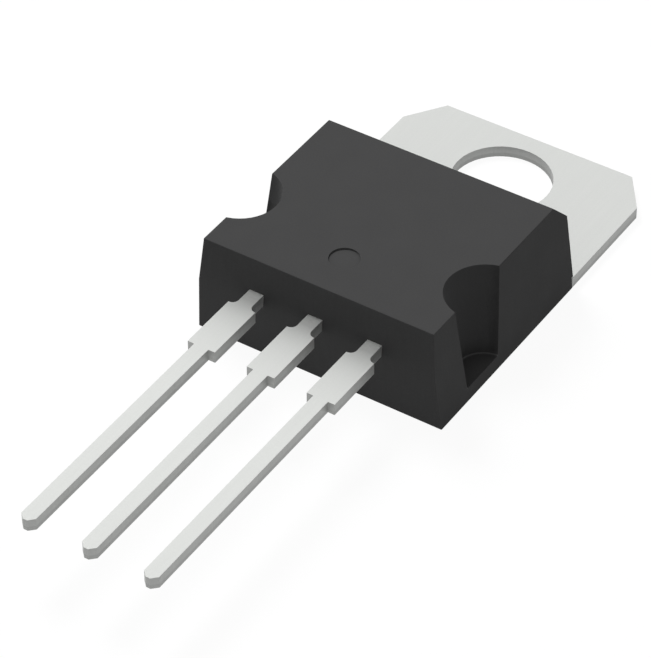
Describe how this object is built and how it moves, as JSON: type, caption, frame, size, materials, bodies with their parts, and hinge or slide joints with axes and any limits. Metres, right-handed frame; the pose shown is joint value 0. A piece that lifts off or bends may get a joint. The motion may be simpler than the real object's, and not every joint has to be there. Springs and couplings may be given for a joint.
{
  "type": "darlington transistor",
  "caption": "Power transistor in a black moulded package, with a holed metal screw tab at one end and flat stamped leads at the other, lying on its back.",
  "frame": {"origin": "on the back face, at the axis of the tab's screw hole", "axes": "+Z out of the front of the package, +Y to the free end of the tab, -Y along the leads, +X across the package to the emitter lead's side"},
  "size_m": [0.0106, 0.0301, 0.0044],
  "materials": {
    "black_epoxy": "fine matte moulded grain",
    "tinned_copper": "matte tin plate over copper",
    "silicon": "polished",
    "solder": "reflowed",
    "aluminium_wire": "drawn"
  },
  "bodies": {
    "root": {"moulded_body": "black_epoxy", "collector_tab_lead": "tinned_copper", "base_lead": "tinned_copper", "emitter_lead": "tinned_copper", "silicon_die": "silicon", "die_attach_solder": "solder", "base_bond_wire": "aluminium_wire", "emitter_bond_wire": "aluminium_wire"}
  },
  "joints": []
}
